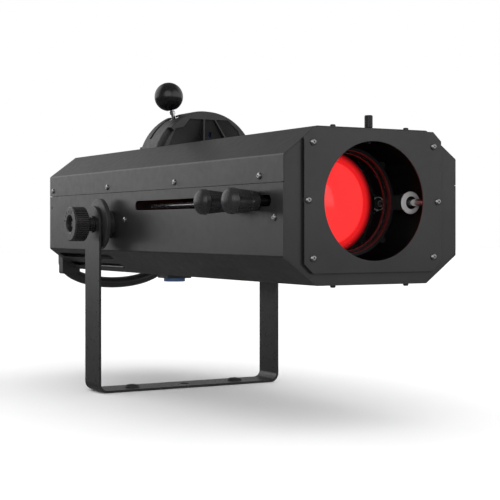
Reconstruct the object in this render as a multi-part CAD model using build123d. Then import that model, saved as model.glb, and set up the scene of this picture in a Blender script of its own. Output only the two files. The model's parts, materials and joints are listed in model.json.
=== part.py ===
"""LED follow spot: octagonal body on a floor yoke, two sliding lens carriages, iris and colour wheel.

Row frame: the origin is on the floor under the middle of the yoke base. +Z is up, and the light
leaves towards -Y. All lengths are millimetres.
"""
import os
from math import asin, cos, pi, radians, sin, sqrt

from build123d import *

os.makedirs("parts", exist_ok=True)

# ---- driving dimensions -------------------------------------------------------------------------
BODY_HALF = 110.0  # half the octagonal body's width
BODY_TOP = 319.5
BODY_BOTTOM = 154.5
FOLD_X = 40.0  # how far a corner chamfer runs in from the side
FOLD_Z = 30.0  # how far it runs down from the top
SKIN = 1.5  # sheet thickness of the shells
FOLD_RADIUS = 2.6
FRONT_Y = -447.5
REAR_Y = 223.5
SEAM_Z = 260.5  # where the upper cover meets the lower shell
SEAM_GAP = 0.6
LIP = 1.5  # joggled lip inside the seam that the cover screws into
LIP_FRONT = FRONT_Y + 6

AXIS_Z = 242.5  # height of the optical axis
APERTURE_R = 62.8
PLATE_HALF = 87.3
PLATE_HALF_Z = 75.4
PLATE_CHAMFER_X = 10.8
PLATE_CHAMFER_Z = 9.9
PLATE = 2.0  # thickness of the bulkheads
FRONT_SHEET = 1.2  # thickness of the front plate, which stands off on spacers

ROD_X = 82.5  # the two guide rods, each side of the optical axis
ROD_R = 4.0
SLOT_FRONT = -423.0
SLOT_REAR = -83.0
SLOT_HALF = 6.0
BUSH_R = 12.6
FRONT_KNOB_Y = -394.5
REAR_KNOB_Y = -331.0
FRONT_RING_Y = -402.0
REAR_RING_Y = -361.5

PIVOT_Z = 219.7
YOKE_HALF = 134.7  # outer face of the yoke's straps
STRAP = 3.0
STRAP_WIDTH = 48.0
YOKE_BEND = 12.0

HOUSING_Z = 295.0  # axis of the wheel housing and of the colour wheel
HOUSING_R = 74.0
HOUSING_REAR = -12.0
HOUSING_SPLIT = -24.0
HOUSING_SHOULDER = -58.0
HOUSING_FRONT = -68.0
LEVER_Y = -29.5
LEVER_TILT = 14.4  # degrees the iris lever leans to -X at rest
BALL_R = 18.9
BALL_REACH = 151.0  # from the optical axis to the ball's centre

MID_WALL_Y = -78.0
FAN_Y = 168.0
FAN_HALF = 46.0
PANEL_REAR = REAR_Y - 0.5

RUN = 0.08  # radial clearance of a running fit
GAP = 0.3  # free clearance between moving parts
SCREW_R = 2.0
SCREW_HOLE = 2.2
SEAT = 0.05  # hair gap between a plate and the sheet it is screwed to
FLOOR_Z = BODY_BOTTOM + SKIN + SEAT  # inside faces of the body's flat bottom and top
ROOF_Z = BODY_TOP - SKIN - SEAT


# ---- helpers ------------------------------------------------------------------------------------
def block(x_low, x_high, y_low, y_high, z_low, z_high):
    centre = Pos((x_low + x_high) / 2, (y_low + y_high) / 2, (z_low + z_high) / 2)
    return centre * Box(x_high - x_low, y_high - y_low, z_high - z_low)


def along_x(radius, x_low, x_high, y, z):
    return Pos((x_low + x_high) / 2, y, z) * Rot(0, 90, 0) * Cylinder(radius, x_high - x_low)


def along_y(radius, y_low, y_high, x, z):
    return Pos(x, (y_low + y_high) / 2, z) * Rot(90, 0, 0) * Cylinder(radius, y_high - y_low)


def tube_y(outer, inner, y_low, y_high, x, z):
    return along_y(outer, y_low, y_high, x, z) - along_y(inner, y_low - 1, y_high + 1, x, z)


def along_z(radius, z_low, z_high, x, y):
    return Pos(x, y, (z_low + z_high) / 2) * Cylinder(radius, z_high - z_low)


def prism_y(points, y_low, y_high):
    """Solid with the XZ outline points, from y_low to y_high."""
    outline = Polyline(*[(x, y_low, z) for x, z in points], close=True)
    return extrude(make_face(outline), amount=y_high - y_low, dir=(0, 1, 0))


def turned_y(profile, x, z):
    """Revolve (radius, y) points about the line parallel to Y through x, z."""
    outline = Polyline(*[(x + r, y, z) for r, y in profile], close=True)
    return revolve(make_face(outline), axis=Axis((x, 0, z), (0, 1, 0)), revolution_arc=360)


def turned_x(profile, y, z):
    """Revolve (x, radius) points about the line parallel to X through y, z."""
    outline = Polyline(*[(x, y + r, z) for x, r in profile], close=True)
    return revolve(make_face(outline), axis=Axis((0, y, z), (1, 0, 0)), revolution_arc=360)


def turned_z(profile, x, y):
    """Revolve (radius, z) points about the vertical line through x, y."""
    outline = Polyline(*[(x + r, y, z) for r, z in profile], close=True)
    return revolve(make_face(outline), axis=Axis((x, y, 0), (0, 0, 1)), revolution_arc=360)


def other_side(shape):
    return mirror(shape, about=Plane.YZ)


def write(node, *shapes):
    solids = [solid for shape in shapes for solid in shape.solids()]
    export_step(solids[0] if len(solids) == 1 else Compound(children=solids), f"parts/{node}.step")


def octagon(inset=0.0):
    """The body's section, moved inwards by inset on every face."""
    slant = sqrt(FOLD_X**2 + FOLD_Z**2)
    corner_x = inset * (slant - FOLD_X) / FOLD_Z
    corner_z = inset * (slant - FOLD_Z) / FOLD_X
    half = BODY_HALF - inset
    flat = BODY_HALF - FOLD_X - corner_x
    top, bottom = BODY_TOP - inset, BODY_BOTTOM + inset
    high, low = BODY_TOP - FOLD_Z - corner_z, BODY_BOTTOM + FOLD_Z + corner_z
    right = [(flat, bottom), (half, low), (half, high), (flat, top)]
    return right + [(-x, z) for x, z in reversed(right)]


def body_prism(inset, y_low, y_high, radius):
    prism = prism_y(octagon(inset), y_low, y_high)
    return fillet(prism.edges().filter_by(Axis.Y), radius) if radius else prism


def head_screw_x(x, y, z, reach, head_r=3.6, head=2.2):
    """Button-head screw entering the body from +X at x, with a hexagon socket."""
    profile = [(x - reach, 0), (x - reach, SCREW_R), (x, SCREW_R), (x, head_r), (x + head * 0.45, head_r)]
    profile += [(x + head * 0.8, head_r * 0.78), (x + head, head_r * 0.5), (x + head, 0)]
    socket = Pos(x + head, y, z) * Rot(0, 90, 0) * extrude(RegularPolygon(1.25, 6), amount=1.2, both=True)
    return turned_x(profile, y, z) - socket


def head_screw_y(x, y, z, reach, head_r=3.6, head=2.2):
    """Button-head screw whose head stands in front (-Y) of the face at y."""
    profile = [(0, y + reach), (SCREW_R, y + reach), (SCREW_R, y), (head_r, y), (head_r, y - head * 0.45)]
    profile += [(head_r * 0.78, y - head * 0.8), (head_r * 0.5, y - head), (0, y - head)]
    socket = Pos(x, y - head, z) * Rot(90, 0, 0) * extrude(RegularPolygon(1.25, 6), amount=1.2, both=True)
    return turned_y(profile, x, z) - socket


def head_screw_z(x, y, z, reach, head_r=2.9, head=2.4):
    """Cheese-head screw standing up from the face at z."""
    profile = [(0, z - reach), (SCREW_R, z - reach), (SCREW_R, z), (head_r, z), (head_r, z + head * 0.7)]
    profile += [(head_r * 0.7, z + head), (0, z + head)]
    slot = block(x - 0.4, x + 0.4, y - head_r, y + head_r, z + head * 0.6, z + head * 1.5)
    return turned_z(profile, x, y) - slot


# ---- body shells --------------------------------------------------------------------------------
COVER_SCREW_Y = (-399.0, -196.0, 7.0, 210.0)
COVER_SCREW_Z = 268.5
SHELL_SCREW_Y = (-430.0, -50.0)
SHELL_SCREW_Z = 225.0
EDGE_SCREW_Z = 244.0
EDGE_SCREW_Y = REAR_Y - 9.0
FRAME_SCREW_X = 46.7
FRAME_SCREW_Y = FRONT_Y + 5.5
THUMB_Y = FRONT_Y + 8.0
VENT_FRONT = 20.0
VENT_REAR = 208.0
VENT_HEIGHT = 10.5
VENT_ROWS = (14.5, 35.5)  # distance down the lower chamfer to each row of vents
BAFFLE_DEEP = 6.0  # how far in from the chamfer's face the sheet behind the vents stands
POD_X, POD_Y, POD_HALF = -44.0, -60.0, 17.0


def vent_cutters():
    """Long rounded slots through both lower chamfers."""
    slant = sqrt(FOLD_X**2 + FOLD_Z**2)
    cutters = []
    for down in VENT_ROWS:
        x = BODY_HALF - FOLD_X * down / slant
        z = BODY_BOTTOM + FOLD_Z - FOLD_Z * down / slant
        plane = Plane((x, (VENT_FRONT + VENT_REAR) / 2, z), x_dir=(0, 1, 0), z_dir=(FOLD_Z, 0, -FOLD_X))
        slot = extrude(plane * SlotOverall(VENT_REAR - VENT_FRONT, VENT_HEIGHT), amount=3, both=True)
        cutters += [slot, other_side(slot)]
    return cutters


def along_chamfer(down_low, down_high, in_low, in_high, y_low, y_high):
    """Slab beside the right lower chamfer: distances down the slant, and inwards from its face."""
    slant = sqrt(FOLD_X**2 + FOLD_Z**2)
    corners = ((down_low, in_low), (down_high, in_low), (down_high, in_high), (down_low, in_high))
    points = []
    for down, inwards in corners:
        x = BODY_HALF - (FOLD_X * down + FOLD_Z * inwards) / slant
        z = BODY_BOTTOM + FOLD_Z + (FOLD_X * inwards - FOLD_Z * down) / slant
        points.append((x, z))
    return prism_y(points, y_low, y_high)


def vent_baffle():
    """Sheet behind a chamfer's vents that keeps stray light in; air passes its long edges."""
    front, rear = VENT_FRONT - 5, VENT_REAR + 5
    sheet = along_chamfer(4, 45, BAFFLE_DEEP, BAFFLE_DEEP + 1, front, rear)
    front_wall = along_chamfer(8, 45, SKIN - 0.1, BAFFLE_DEEP + 1, front, front + 1.2)
    rear_wall = along_chamfer(8, 45, SKIN - 0.1, BAFFLE_DEEP + 1, rear - 1.2, rear)
    return sheet + front_wall + rear_wall


def body_shells():
    """Upper cover and lower shell, each one folded sheet."""
    skin = body_prism(0, FRONT_Y, REAR_Y, FOLD_RADIUS) - body_prism(SKIN, FRONT_Y - 1, REAR_Y + 1, 1.1)
    wide = BODY_HALF + 5
    cover = skin & block(-wide, wide, FRONT_Y, REAR_Y, SEAM_Z + SEAM_GAP, BODY_TOP + 5)
    shell = skin & block(-wide, wide, FRONT_Y, REAR_Y, BODY_BOTTOM - 5, SEAM_Z)
    lip_x = BODY_HALF - SKIN
    lip = block(lip_x - LIP, lip_x, LIP_FRONT, REAR_Y - 6, SEAM_Z - 12, SEAM_Z + 15)
    shell = shell + [lip, other_side(lip)]
    for y in COVER_SCREW_Y:
        hole = along_x(SCREW_HOLE, -wide, wide, y, COVER_SCREW_Z)
        cover = cover - hole
        shell = shell - hole
    for y in SHELL_SCREW_Y:
        shell = shell - along_x(SCREW_HOLE, -wide, wide, y, SHELL_SCREW_Z)
    shell = shell - along_x(SCREW_HOLE, -wide, wide, EDGE_SCREW_Y, EDGE_SCREW_Z)
    for x in (-FRAME_SCREW_X, FRAME_SCREW_X):
        hole = along_z(SCREW_HOLE, BODY_BOTTOM - 5, BODY_TOP + 5, x, FRAME_SCREW_Y)
        cover = cover - hole
        shell = shell - hole
    cover = cover - along_z(3.3, BODY_TOP - 5, BODY_TOP + 5, 0, THUMB_Y)
    cover = cover - along_y(HOUSING_R + 0.6, HOUSING_FRONT - 0.6, HOUSING_REAR + 0.6, 0, HOUSING_Z)
    slot_ends = (SLOT_FRONT + SLOT_HALF, SLOT_REAR - SLOT_HALF)
    inside_x = -BODY_HALF + 5
    shell = shell - block(-wide, inside_x, *slot_ends, AXIS_Z - SLOT_HALF, AXIS_Z + SLOT_HALF)
    for y in slot_ends:
        shell = shell - along_x(SLOT_HALF, -wide, inside_x, y, AXIS_Z)
    for cutter in vent_cutters():
        shell = shell - cutter
    shell = shell + [vent_baffle(), other_side(vent_baffle())]
    for side in (-1, 1):
        shell = shell - along_x(7.0, side * BODY_HALF - 5, side * BODY_HALF + 5, 0, PIVOT_Z)
    shell = shell - along_z(12.5, BODY_BOTTOM - 5, BODY_BOTTOM + 5, POD_X, POD_Y)
    return cover, shell


upper_cover, lower_shell = body_shells()
write("upper_cover", upper_cover)
write("lower_shell", lower_shell)


def bulkhead(y, thickness, hole_r, hole_z=AXIS_Z):
    """Octagonal plate inside the shells, notched for the seam's lips unless it stands before them."""
    plate = body_prism(SKIN + SEAT, y, y + thickness, 1.2)
    plate = plate - along_y(hole_r, y - 1, y + thickness + 1, 0, hole_z)
    if y + thickness < LIP_FRONT:
        return plate
    lip_x = BODY_HALF - SKIN - LIP - 0.1
    lips = block(lip_x, BODY_HALF, y - 1, y + thickness + 1, SEAM_Z - 13, SEAM_Z + 16)
    return plate - [lips, other_side(lips)]


# ---- front end ----------------------------------------------------------------------------------
PLATE_FRONT = FRONT_Y - 4.0
PLATE_SCREWS = [(sx * 76.7, sz * 59.5) for sx in (-1, 1) for sz in (-1, 1)] + [(-82.5, 0), (82.5, 0)]


def front_end():
    """Bulkhead flush inside the shells, and the front plate with its six spacers and screws."""
    wall = bulkhead(FRONT_Y, PLATE, APERTURE_R + 6)
    corner = [(PLATE_HALF, PLATE_HALF_Z - PLATE_CHAMFER_Z), (PLATE_HALF - PLATE_CHAMFER_X, PLATE_HALF_Z)]
    right = [(x, -z) for x, z in reversed(corner)] + corner
    outline = right + [(-x, z) for x, z in reversed(right)]
    sheet_rear = PLATE_FRONT + FRONT_SHEET
    plate = prism_y([(x, AXIS_Z + z) for x, z in outline], PLATE_FRONT, sheet_rear)
    plate = plate - along_y(APERTURE_R, PLATE_FRONT - 1, FRONT_Y, 0, AXIS_Z)
    plate = chamfer(plate.faces().sort_by(Axis.Y)[0].edges(), 0.35)
    spacers, screws = [], []
    for x, z in PLATE_SCREWS:
        hole = along_y(SCREW_HOLE, PLATE_FRONT - 5, FRONT_Y + 10, x, AXIS_Z + z)
        wall = wall - hole
        plate = plate - hole
        spacers.append(tube_y(5.0, SCREW_HOLE, sheet_rear, FRONT_Y, x, AXIS_Z + z))
        screws.append(head_screw_y(x, PLATE_FRONT, AXIS_Z + z, 8.0))
    flange_y = FRONT_Y + PLATE
    edges = []
    for z_low, z_high in ((ROOF_Z - PLATE, ROOF_Z), (FLOOR_Z, FLOOR_Z + PLATE)):
        tab = block(-60, 60, flange_y, flange_y + 14, z_low, z_high)
        for x in (-FRAME_SCREW_X, FRAME_SCREW_X):
            tab = tab - along_z(SCREW_HOLE, z_low - 1, z_high + 1, x, FRAME_SCREW_Y)
        tab = tab - along_z(3.3, z_low - 1, z_high + 1, 0, THUMB_Y)
        edges.append(tab)
    return wall + edges, plate, spacers, screws


front_bulkhead, front_plate, plate_spacers, plate_screws = front_end()
write("front_bulkhead", front_bulkhead)
write("front_plate", front_plate)
write("plate_spacers", *plate_spacers)
write("plate_screws", *plate_screws)


def frame_screws():
    screws = []
    for x in (-FRAME_SCREW_X, FRAME_SCREW_X):
        top = head_screw_z(x, FRAME_SCREW_Y, BODY_TOP, 5)
        screws += [top, Pos(0, 0, BODY_TOP + BODY_BOTTOM) * mirror(top, about=Plane.XY)]
    return screws


def body_screws():
    """Button heads along both sides: the cover's row and the shell's two."""
    places = [(y, COVER_SCREW_Z) for y in COVER_SCREW_Y] + [(y, SHELL_SCREW_Z) for y in SHELL_SCREW_Y]
    screws = [head_screw_x(BODY_HALF, y, z, 4.5) for y, z in places]
    return screws + [other_side(screw) for screw in screws]


write("frame_screws", *frame_screws())
write("body_screws", *body_screws())

THUMB_R = 4.35
THUMB_HEIGHT = 14.0


def thumb_screw():
    """Knurled screw on top that clamps a colour frame behind the front plate."""
    low, high = BODY_TOP + GAP, BODY_TOP + THUMB_HEIGHT
    head = turned_z([(0, low), (THUMB_R - 0.5, low), (THUMB_R, low + 0.8), (THUMB_R, high - 0.8),
                     (THUMB_R - 0.6, high), (0, high)], 0, THUMB_Y)
    grooves = 18
    for i in range(grooves):
        angle = 2 * pi * i / grooves
        x, y = THUMB_R * cos(angle), THUMB_Y + THUMB_R * sin(angle)
        head = head - along_z(0.4, low + 1.2, high + 1, x, y)
    return head + along_z(2.5, BODY_TOP - 16, low, 0, THUMB_Y)


write("thumb_screw", thumb_screw())

# ---- guide rods and lens carriages --------------------------------------------------------------
ROD_FRONT = FRONT_Y + PLATE
ROD_REAR = MID_WALL_Y


rod = along_y(ROD_R, ROD_FRONT, ROD_REAR, ROD_X, AXIS_Z)
rod = rod - along_y(SCREW_HOLE, ROD_FRONT - 1, ROD_FRONT + 8, ROD_X, AXIS_Z)
write("guide_rods", rod, other_side(rod))


def lens_face(radius, y_edge, bulge):
    """Points from the axis to the rim of a spherical face that stands bulge along Y at its centre."""
    steps = 12
    side = 1 if bulge > 0 else -1
    curve_r = (radius**2 + bulge**2) / (2 * abs(bulge))
    sweep = asin(radius / curve_r)
    points = []
    for i in range(steps + 1):
        angle = sweep * i / steps
        points.append((curve_r * sin(angle), y_edge + bulge - side * curve_r * (1 - cos(angle))))
    return points


def lens(y_front, radius, edge, bulge_front, bulge_rear, flat=0.0):
    """Lens on the optical axis: edge is the rim's width, bulge a face's height, flat a border in front."""
    front = lens_face(radius - flat, y_front, -bulge_front)
    if flat:
        front.append((radius, y_front))
    rear = lens_face(radius, y_front + edge, bulge_rear)
    return turned_y(front + rear[::-1], 0, AXIS_Z)


BUSH_BODY_R = 8.0
BUSH_FLANGE = 2.0
BUSH_HALF = 9.0
STUD_R = 3.8


def carriage(ring_y, ring_depth, ring_out, ring_in, knob_y):
    """Lens ring with an arm each side to a bush housing, and the stud for its knob."""
    ring_rear = ring_y + ring_depth
    ring = tube_y(ring_out, ring_in, ring_y, ring_rear, 0, AXIS_Z)
    ring = ring + tube_y(ring_in + 0.5, ring_in - 2.5, ring_rear - 3, ring_rear, 0, AXIS_Z)
    low, high = knob_y - BUSH_HALF + BUSH_FLANGE, knob_y + BUSH_HALF - BUSH_FLANGE
    clear = along_y(ring_in, ring_y - 40, ring_y + 80, 0, AXIS_Z)
    arm = block(57.5, ROD_X, low, low + 8, AXIS_Z - 8, AXIS_Z + 8)
    arm = arm + along_y(BUSH_BODY_R + 2.5, low, high, ROD_X, AXIS_Z) - clear
    for side in (arm, other_side(arm)):
        ring = ring + side
    for x in (-ROD_X, ROD_X):
        ring = ring - along_y(BUSH_BODY_R, low - 9, high + 9, x, AXIS_Z)
    lug_reach = ring_out + 1.5
    for angle in (radians(-42), radians(42)):
        x, z = lug_reach * cos(angle), AXIS_Z + lug_reach * sin(angle)
        ring = ring + (along_y(4.0, ring_y + 1, ring_rear - 1, x, z) - clear)
    return ring + along_x(STUD_R, -BODY_HALF - 1.2, -ROD_X - BUSH_BODY_R - 2, knob_y, AXIS_Z)


def bushes(knob_y, facing):
    """White flanged bushes on the rods, their counterbored flange in front (1) or behind (-1)."""
    bore, well = ROD_R + RUN, ROD_R + 3.0
    points = [(bore, 5.0), (well, 5.0), (well, 0), (BUSH_R - 0.8, 0), (BUSH_R, 0.8), (BUSH_R, BUSH_FLANGE),
              (BUSH_BODY_R, BUSH_FLANGE), (BUSH_BODY_R, 2 * BUSH_HALF), (bore, 2 * BUSH_HALF)]
    profile = [(r, knob_y + facing * (deep - BUSH_HALF)) for r, deep in points]
    bush = turned_y(profile, ROD_X, AXIS_Z)
    return [bush, other_side(bush)]


KNOB_REACH = 40.5  # from the body's side to the knob's cap
CAP_R, CAP_DOME = 14.0, 9.0
FLUTES, FLUTE_R, FLUTE_LENGTH = 7, 5.2, 15.5


def slot_knob(y):
    """Clamp knob on a carriage's stud: domed cap, scalloped body and plain tapered foot."""
    cap_x, neck_x, foot_x = BODY_HALF + KNOB_REACH, BODY_HALF + 27.5, BODY_HALF + GAP + 1.2
    neck_r, foot_r = 13.2, 10.6
    profile = [(foot_x, 0), (foot_x, foot_r - 0.8), (foot_x + 0.8, foot_r)]
    profile = profile + [(neck_x, neck_r), (neck_x + 1.0, CAP_R)]
    steps = 8
    for i in range(1, steps):
        angle = pi / 2 * i / steps
        profile.append((cap_x - CAP_DOME * (1 - sin(angle)), CAP_R * cos(angle)))
    knob = turned_x(profile + [(cap_x, 0)], y, AXIS_Z)
    flute_x, reach = neck_x - FLUTE_LENGTH, neck_r + 2.4
    flute = along_x(FLUTE_R, flute_x, neck_x - 0.4, 0, 0) + Pos(flute_x, 0, 0) * Sphere(FLUTE_R)
    for i in range(FLUTES):
        angle = 2 * pi * (i + 0.5) / FLUTES
        knob = knob - Pos(0, y + reach * cos(angle), AXIS_Z + reach * sin(angle)) * flute
    return other_side(knob - along_x(STUD_R + RUN, foot_x - 1, foot_x + 2.0, y, AXIS_Z))


FRONT_RING_OUT, FRONT_RING_IN = 59.5, 56.0
REAR_RING_OUT, REAR_RING_IN = 62.0, 57.6
write("front_carriage", carriage(FRONT_RING_Y, 12.0, FRONT_RING_OUT, FRONT_RING_IN, FRONT_KNOB_Y))
write("front_lens", lens(FRONT_RING_Y + 5.9, FRONT_RING_IN - 0.1, 3.0, 3.0, 0.8))
write("front_bushes", *bushes(FRONT_KNOB_Y, 1))
write("front_knob", slot_knob(FRONT_KNOB_Y))
write("rear_carriage", carriage(REAR_RING_Y, 30.0, REAR_RING_OUT, REAR_RING_IN, REAR_KNOB_Y))
write("rear_lens", lens(REAR_RING_Y + 0.5, REAR_RING_IN - 0.1, 6.5, 6.4, 1.2, 11.2))
write("rear_bushes", *bushes(REAR_KNOB_Y, -1))
write("rear_knob", slot_knob(REAR_KNOB_Y))


def mid_wall():
    wall = bulkhead(MID_WALL_Y, PLATE, 44.0)
    flange = block(-60, 60, MID_WALL_Y + PLATE, MID_WALL_Y + 10, FLOOR_Z, FLOOR_Z + PLATE)
    return wall + (flange - block(POD_X - 14, POD_X + 14, MID_WALL_Y, MID_WALL_Y + 12, 0, BODY_TOP))


write("mid_bulkhead", mid_wall())

# ---- wheel housing, iris and colour wheel -------------------------------------------------------
WALL = 2.5
HOUSING_IN = HOUSING_R - WALL
SKIRT_X = 45.0  # the housing runs down past the beam as a box of this half-width
SKIRT_LOW = 198.0
BEAM_R = 18.5
RECESS_R = 71.0  # the front face's pocket slopes in from this radius
RECESS_FLOOR_R = 27.0
RECESS_DEPTH = 14.6
INNER_FRONT = HOUSING_FRONT + RECESS_DEPTH + WALL
RIB_HALF = 1.1
RIBS = (((-4.6, 362.0), (-4.6, 240.0)), ((11.2, 358.0), (51.0, 298.0)))
POCKET = ((30.5, 357.2), (46.0, 344.0), (56.0, 322.0), (60.0, 295.0), (56.0, 268.0),
          (46.0, 246.0), (30.5, 232.8))
POCKET_STEP = ((-46.0, 344.0), (-34.5, 346.2), (-25.4, 357.2))  # where it runs round the parking notch
REBATE_R = 67.0  # rebate in the rim on the -X side
REBATE = (46.5, 100.0)  # degrees from the top
SIGHT_HOLE = (6.5, 10.5, 334.5, 341.0)  # x and z limits of the square hole in the dish
LUG = 3.6
LUG_ANGLE = 54
LEVER_SWEEP = 60  # the lever's slot reaches this many degrees each side of the top and stops the lever there
SLOT_WIDTH = 6.6
NOTCH = (20, 34)  # parking notch in the front half, degrees from the top towards -X
NOTCH_REAR = (12, 25)  # and in the rear half


def skirt(inset, y_low, y_high):
    half = SKIRT_X - inset
    return block(-half, half, y_low, y_high, SKIRT_LOW + inset, HOUSING_Z)


def rim_lug(y_low, y_high):
    """Screw lug on the housing's rim, on the +X side of the top."""
    lug = block(-5, 5, y_low, y_high, HOUSING_Z + HOUSING_R - 2, HOUSING_Z + HOUSING_R + LUG)
    lug = fillet(lug.edges().filter_by(Axis.Y).sort_by(Axis.Z)[-2:], 1.5)
    return lug.rotate(Axis((0, 0, HOUSING_Z), (0, 1, 0)), LUG_ANGLE)


def sector(first, last, steps, reach=130):
    """Wedge about the housing's axis between two angles from the top, + towards -X."""
    points = [(0, HOUSING_Z)]
    for i in range(steps + 1):
        angle = radians(90 + first + (last - first) * i / steps)
        points.append((reach * cos(angle), HOUSING_Z + reach * sin(angle)))
    return prism_y(points, HOUSING_FRONT - 2, HOUSING_REAR + 2)


def cut_parking_notch(shape, y_low, y_high, angles):
    """Wide notch in the wall where the iris lever parks."""
    band = tube_y(HOUSING_R + 1, HOUSING_IN - 6, y_low, y_high, 0, HOUSING_Z)
    return shape - (band & sector(*angles, 3))


def pocket():
    """What the front face's pocket removes: straight-sided, sloping in, and left standing at the ribs."""
    floor_y = HOUSING_FRONT + RECESS_DEPTH
    profile = [(0, HOUSING_FRONT - 1), (RECESS_R, HOUSING_FRONT - 1), (RECESS_R, HOUSING_FRONT),
               (RECESS_FLOOR_R, floor_y), (0, floor_y)]
    low_left = [(-x, z) for x, z in reversed(POCKET) if z < POCKET_STEP[0][1]]
    outline = prism_y(list(POCKET) + low_left + list(POCKET_STEP), HOUSING_FRONT - 2, floor_y + 1)
    cut = turned_y(profile, 0, HOUSING_Z) & outline
    for (top_x, top_z), (low_x, low_z) in RIBS:
        rib = [(top_x - RIB_HALF, top_z), (top_x + RIB_HALF, top_z)]
        rib = rib + [(low_x + RIB_HALF, low_z), (low_x - RIB_HALF, low_z)]
        cut = cut - prism_y(rib, HOUSING_FRONT, floor_y + 1)
    return cut


def housing_front():
    """Front half: wall with the lever's slot, and a flat face with a rebate and a ribbed pocket."""
    split, shoulder, front = HOUSING_SPLIT, HOUSING_SHOULDER, HOUSING_FRONT
    wall, rim = HOUSING_R, HOUSING_R - 1.3
    outer = [(0, split), (wall, split), (wall, shoulder), (rim, front + 0.7), (rim - 0.7, front), (0, front)]
    hollow = [(0, split + 1), (HOUSING_IN, split + 1), (HOUSING_IN, shoulder + WALL),
              (RECESS_FLOOR_R + 3, INNER_FRONT), (0, INNER_FRONT)]
    shape = turned_y(outer, 0, HOUSING_Z) + skirt(0, shoulder, split)
    shape = shape - turned_y(hollow, 0, HOUSING_Z) - skirt(WALL, INNER_FRONT, split + 1) - pocket()
    rebate = tube_y(wall + 1, REBATE_R, front - 1, front + 8.0, 0, HOUSING_Z) & sector(*REBATE, 6)
    shape = shape - rebate
    shape = shape - along_y(BEAM_R, front - 1, split + 1, 0, AXIS_Z)
    x_low, x_high, z_low, z_high = SIGHT_HOLE
    shape = shape - block(x_low, x_high, front - 1, INNER_FRONT + 1, z_low, z_high)
    shape = shape + rim_lug(shoulder + 1.5, shoulder + 12)
    half = SLOT_WIDTH / 2
    slot = tube_y(HOUSING_R + 1, HOUSING_IN - 4, LEVER_Y - half, LEVER_Y + half, 0, HOUSING_Z)
    shape = shape - (slot & sector(-LEVER_SWEEP, LEVER_SWEEP, 14))
    return cut_parking_notch(shape, shoulder + 5, split + 1, NOTCH)


def housing_rear():
    """Rear half: shallow pan with the beam and shaft holes."""
    split, rear = HOUSING_SPLIT, HOUSING_REAR
    outer = [(0, split), (HOUSING_R, split), (HOUSING_R, rear - 1.0), (HOUSING_R - 1.0, rear), (0, rear)]
    shape = turned_y(outer, 0, HOUSING_Z) + skirt(0, split, rear)
    hollow = along_y(HOUSING_IN, split - 1, rear - WALL, 0, HOUSING_Z)
    shape = shape - hollow - skirt(WALL, split - 1, rear - WALL)
    shape = shape - along_y(BEAM_R, split - 1, rear + 1, 0, AXIS_Z)
    shape = shape - along_y(SHAFT_R + 0.7, split - 1, rear + 1, 0, HOUSING_Z)
    shape = shape + rim_lug(split, rear - 1.5)
    return cut_parking_notch(shape, split - 1, rear + 1, NOTCH_REAR)


def housing_trim():
    """Bar on the cover that closes the gap behind the housing."""
    bar = block(-69, 69, HOUSING_REAR + 0.9, HOUSING_REAR + 6.6, BODY_TOP, BODY_TOP + 2.6)
    bar = fillet(bar.edges().filter_by(Axis.Z), 1.4)
    return chamfer(bar.faces().sort_by(Axis.Z)[-1].edges(), 0.6)


SHAFT_R = 2.5
write("wheel_housing_front", housing_front())
write("wheel_housing_rear", housing_rear())
write("housing_trim", housing_trim())

IRIS_OUT, IRIS_IN = 36.0, 20.5
IRIS_RIM = 3.0
ROTOR = (LEVER_Y - 2.5, LEVER_Y + 2.5)
IRIS_BASE = (LEVER_Y - 10.9, LEVER_Y - 8.5)
LEAF_COUNT, LEAF_THICKNESS, LEAF_PITCH = 8, 0.3, 0.6
LEAF_FIRST = IRIS_BASE[1] + 0.2


def iris_cassette():
    """Fixed tube and base ring; the tube is open at the top where the lever sweeps."""
    low, high = INNER_FRONT, ROTOR[1] + 1.0
    tube = tube_y(IRIS_OUT + IRIS_RIM, IRIS_OUT + GAP, low, high, 0, AXIS_Z)
    window = [(0, AXIS_Z), (-60, AXIS_Z + 56), (-60, AXIS_Z + 90), (60, AXIS_Z + 90), (60, AXIS_Z + 56)]
    tube = tube - prism_y(window, ROTOR[0] - 1.0, high + 1)
    return tube + tube_y(IRIS_OUT + 1, IRIS_IN, *IRIS_BASE, 0, AXIS_Z)


def iris_leaves():
    """Crescent leaves resting open in the cassette, each in its own layer."""
    leaves = []
    wedge = prism_y([(0, AXIS_Z), (60, AXIS_Z - 20), (60, AXIS_Z + 90), (-40, AXIS_Z + 60)], *ROTOR)
    for i in range(LEAF_COUNT):
        y = LEAF_FIRST + LEAF_PITCH * i
        leaf = tube_y(34.5, 23.0, y, y + LEAF_THICKNESS, 0, AXIS_Z)
        leaf = leaf & (Pos(0, y - ROTOR[0] - 1, 0) * wedge)
        leaves.append(leaf.rotate(Axis((0, 0, AXIS_Z), (0, 1, 0)), 360 * i / LEAF_COUNT))
    return leaves


def tilted(shape):
    """Turn a shape about the optical axis so that +Z leans towards -X by the lever's angle."""
    return shape.rotate(Axis((0, 0, AXIS_Z), (0, 1, 0)), -LEVER_TILT)


LEVER_R = 2.6


def iris_lever():
    """Rotor ring with the steel lever rod and its collar where it leaves the housing."""
    ring = tube_y(IRIS_OUT, IRIS_IN, *ROTOR, 0, AXIS_Z)
    rod = along_z(LEVER_R, AXIS_Z + IRIS_OUT - 6, AXIS_Z + BALL_REACH - BALL_R + 4, 0, LEVER_Y)
    low, high = AXIS_Z + 127.3, AXIS_Z + 131.0
    collar = turned_z([(0, low), (3.6, low), (3.6, high), (LEVER_R, high + 0.8), (0, high + 0.8)], 0, LEVER_Y)
    return tilted(ring + rod + collar)


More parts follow.
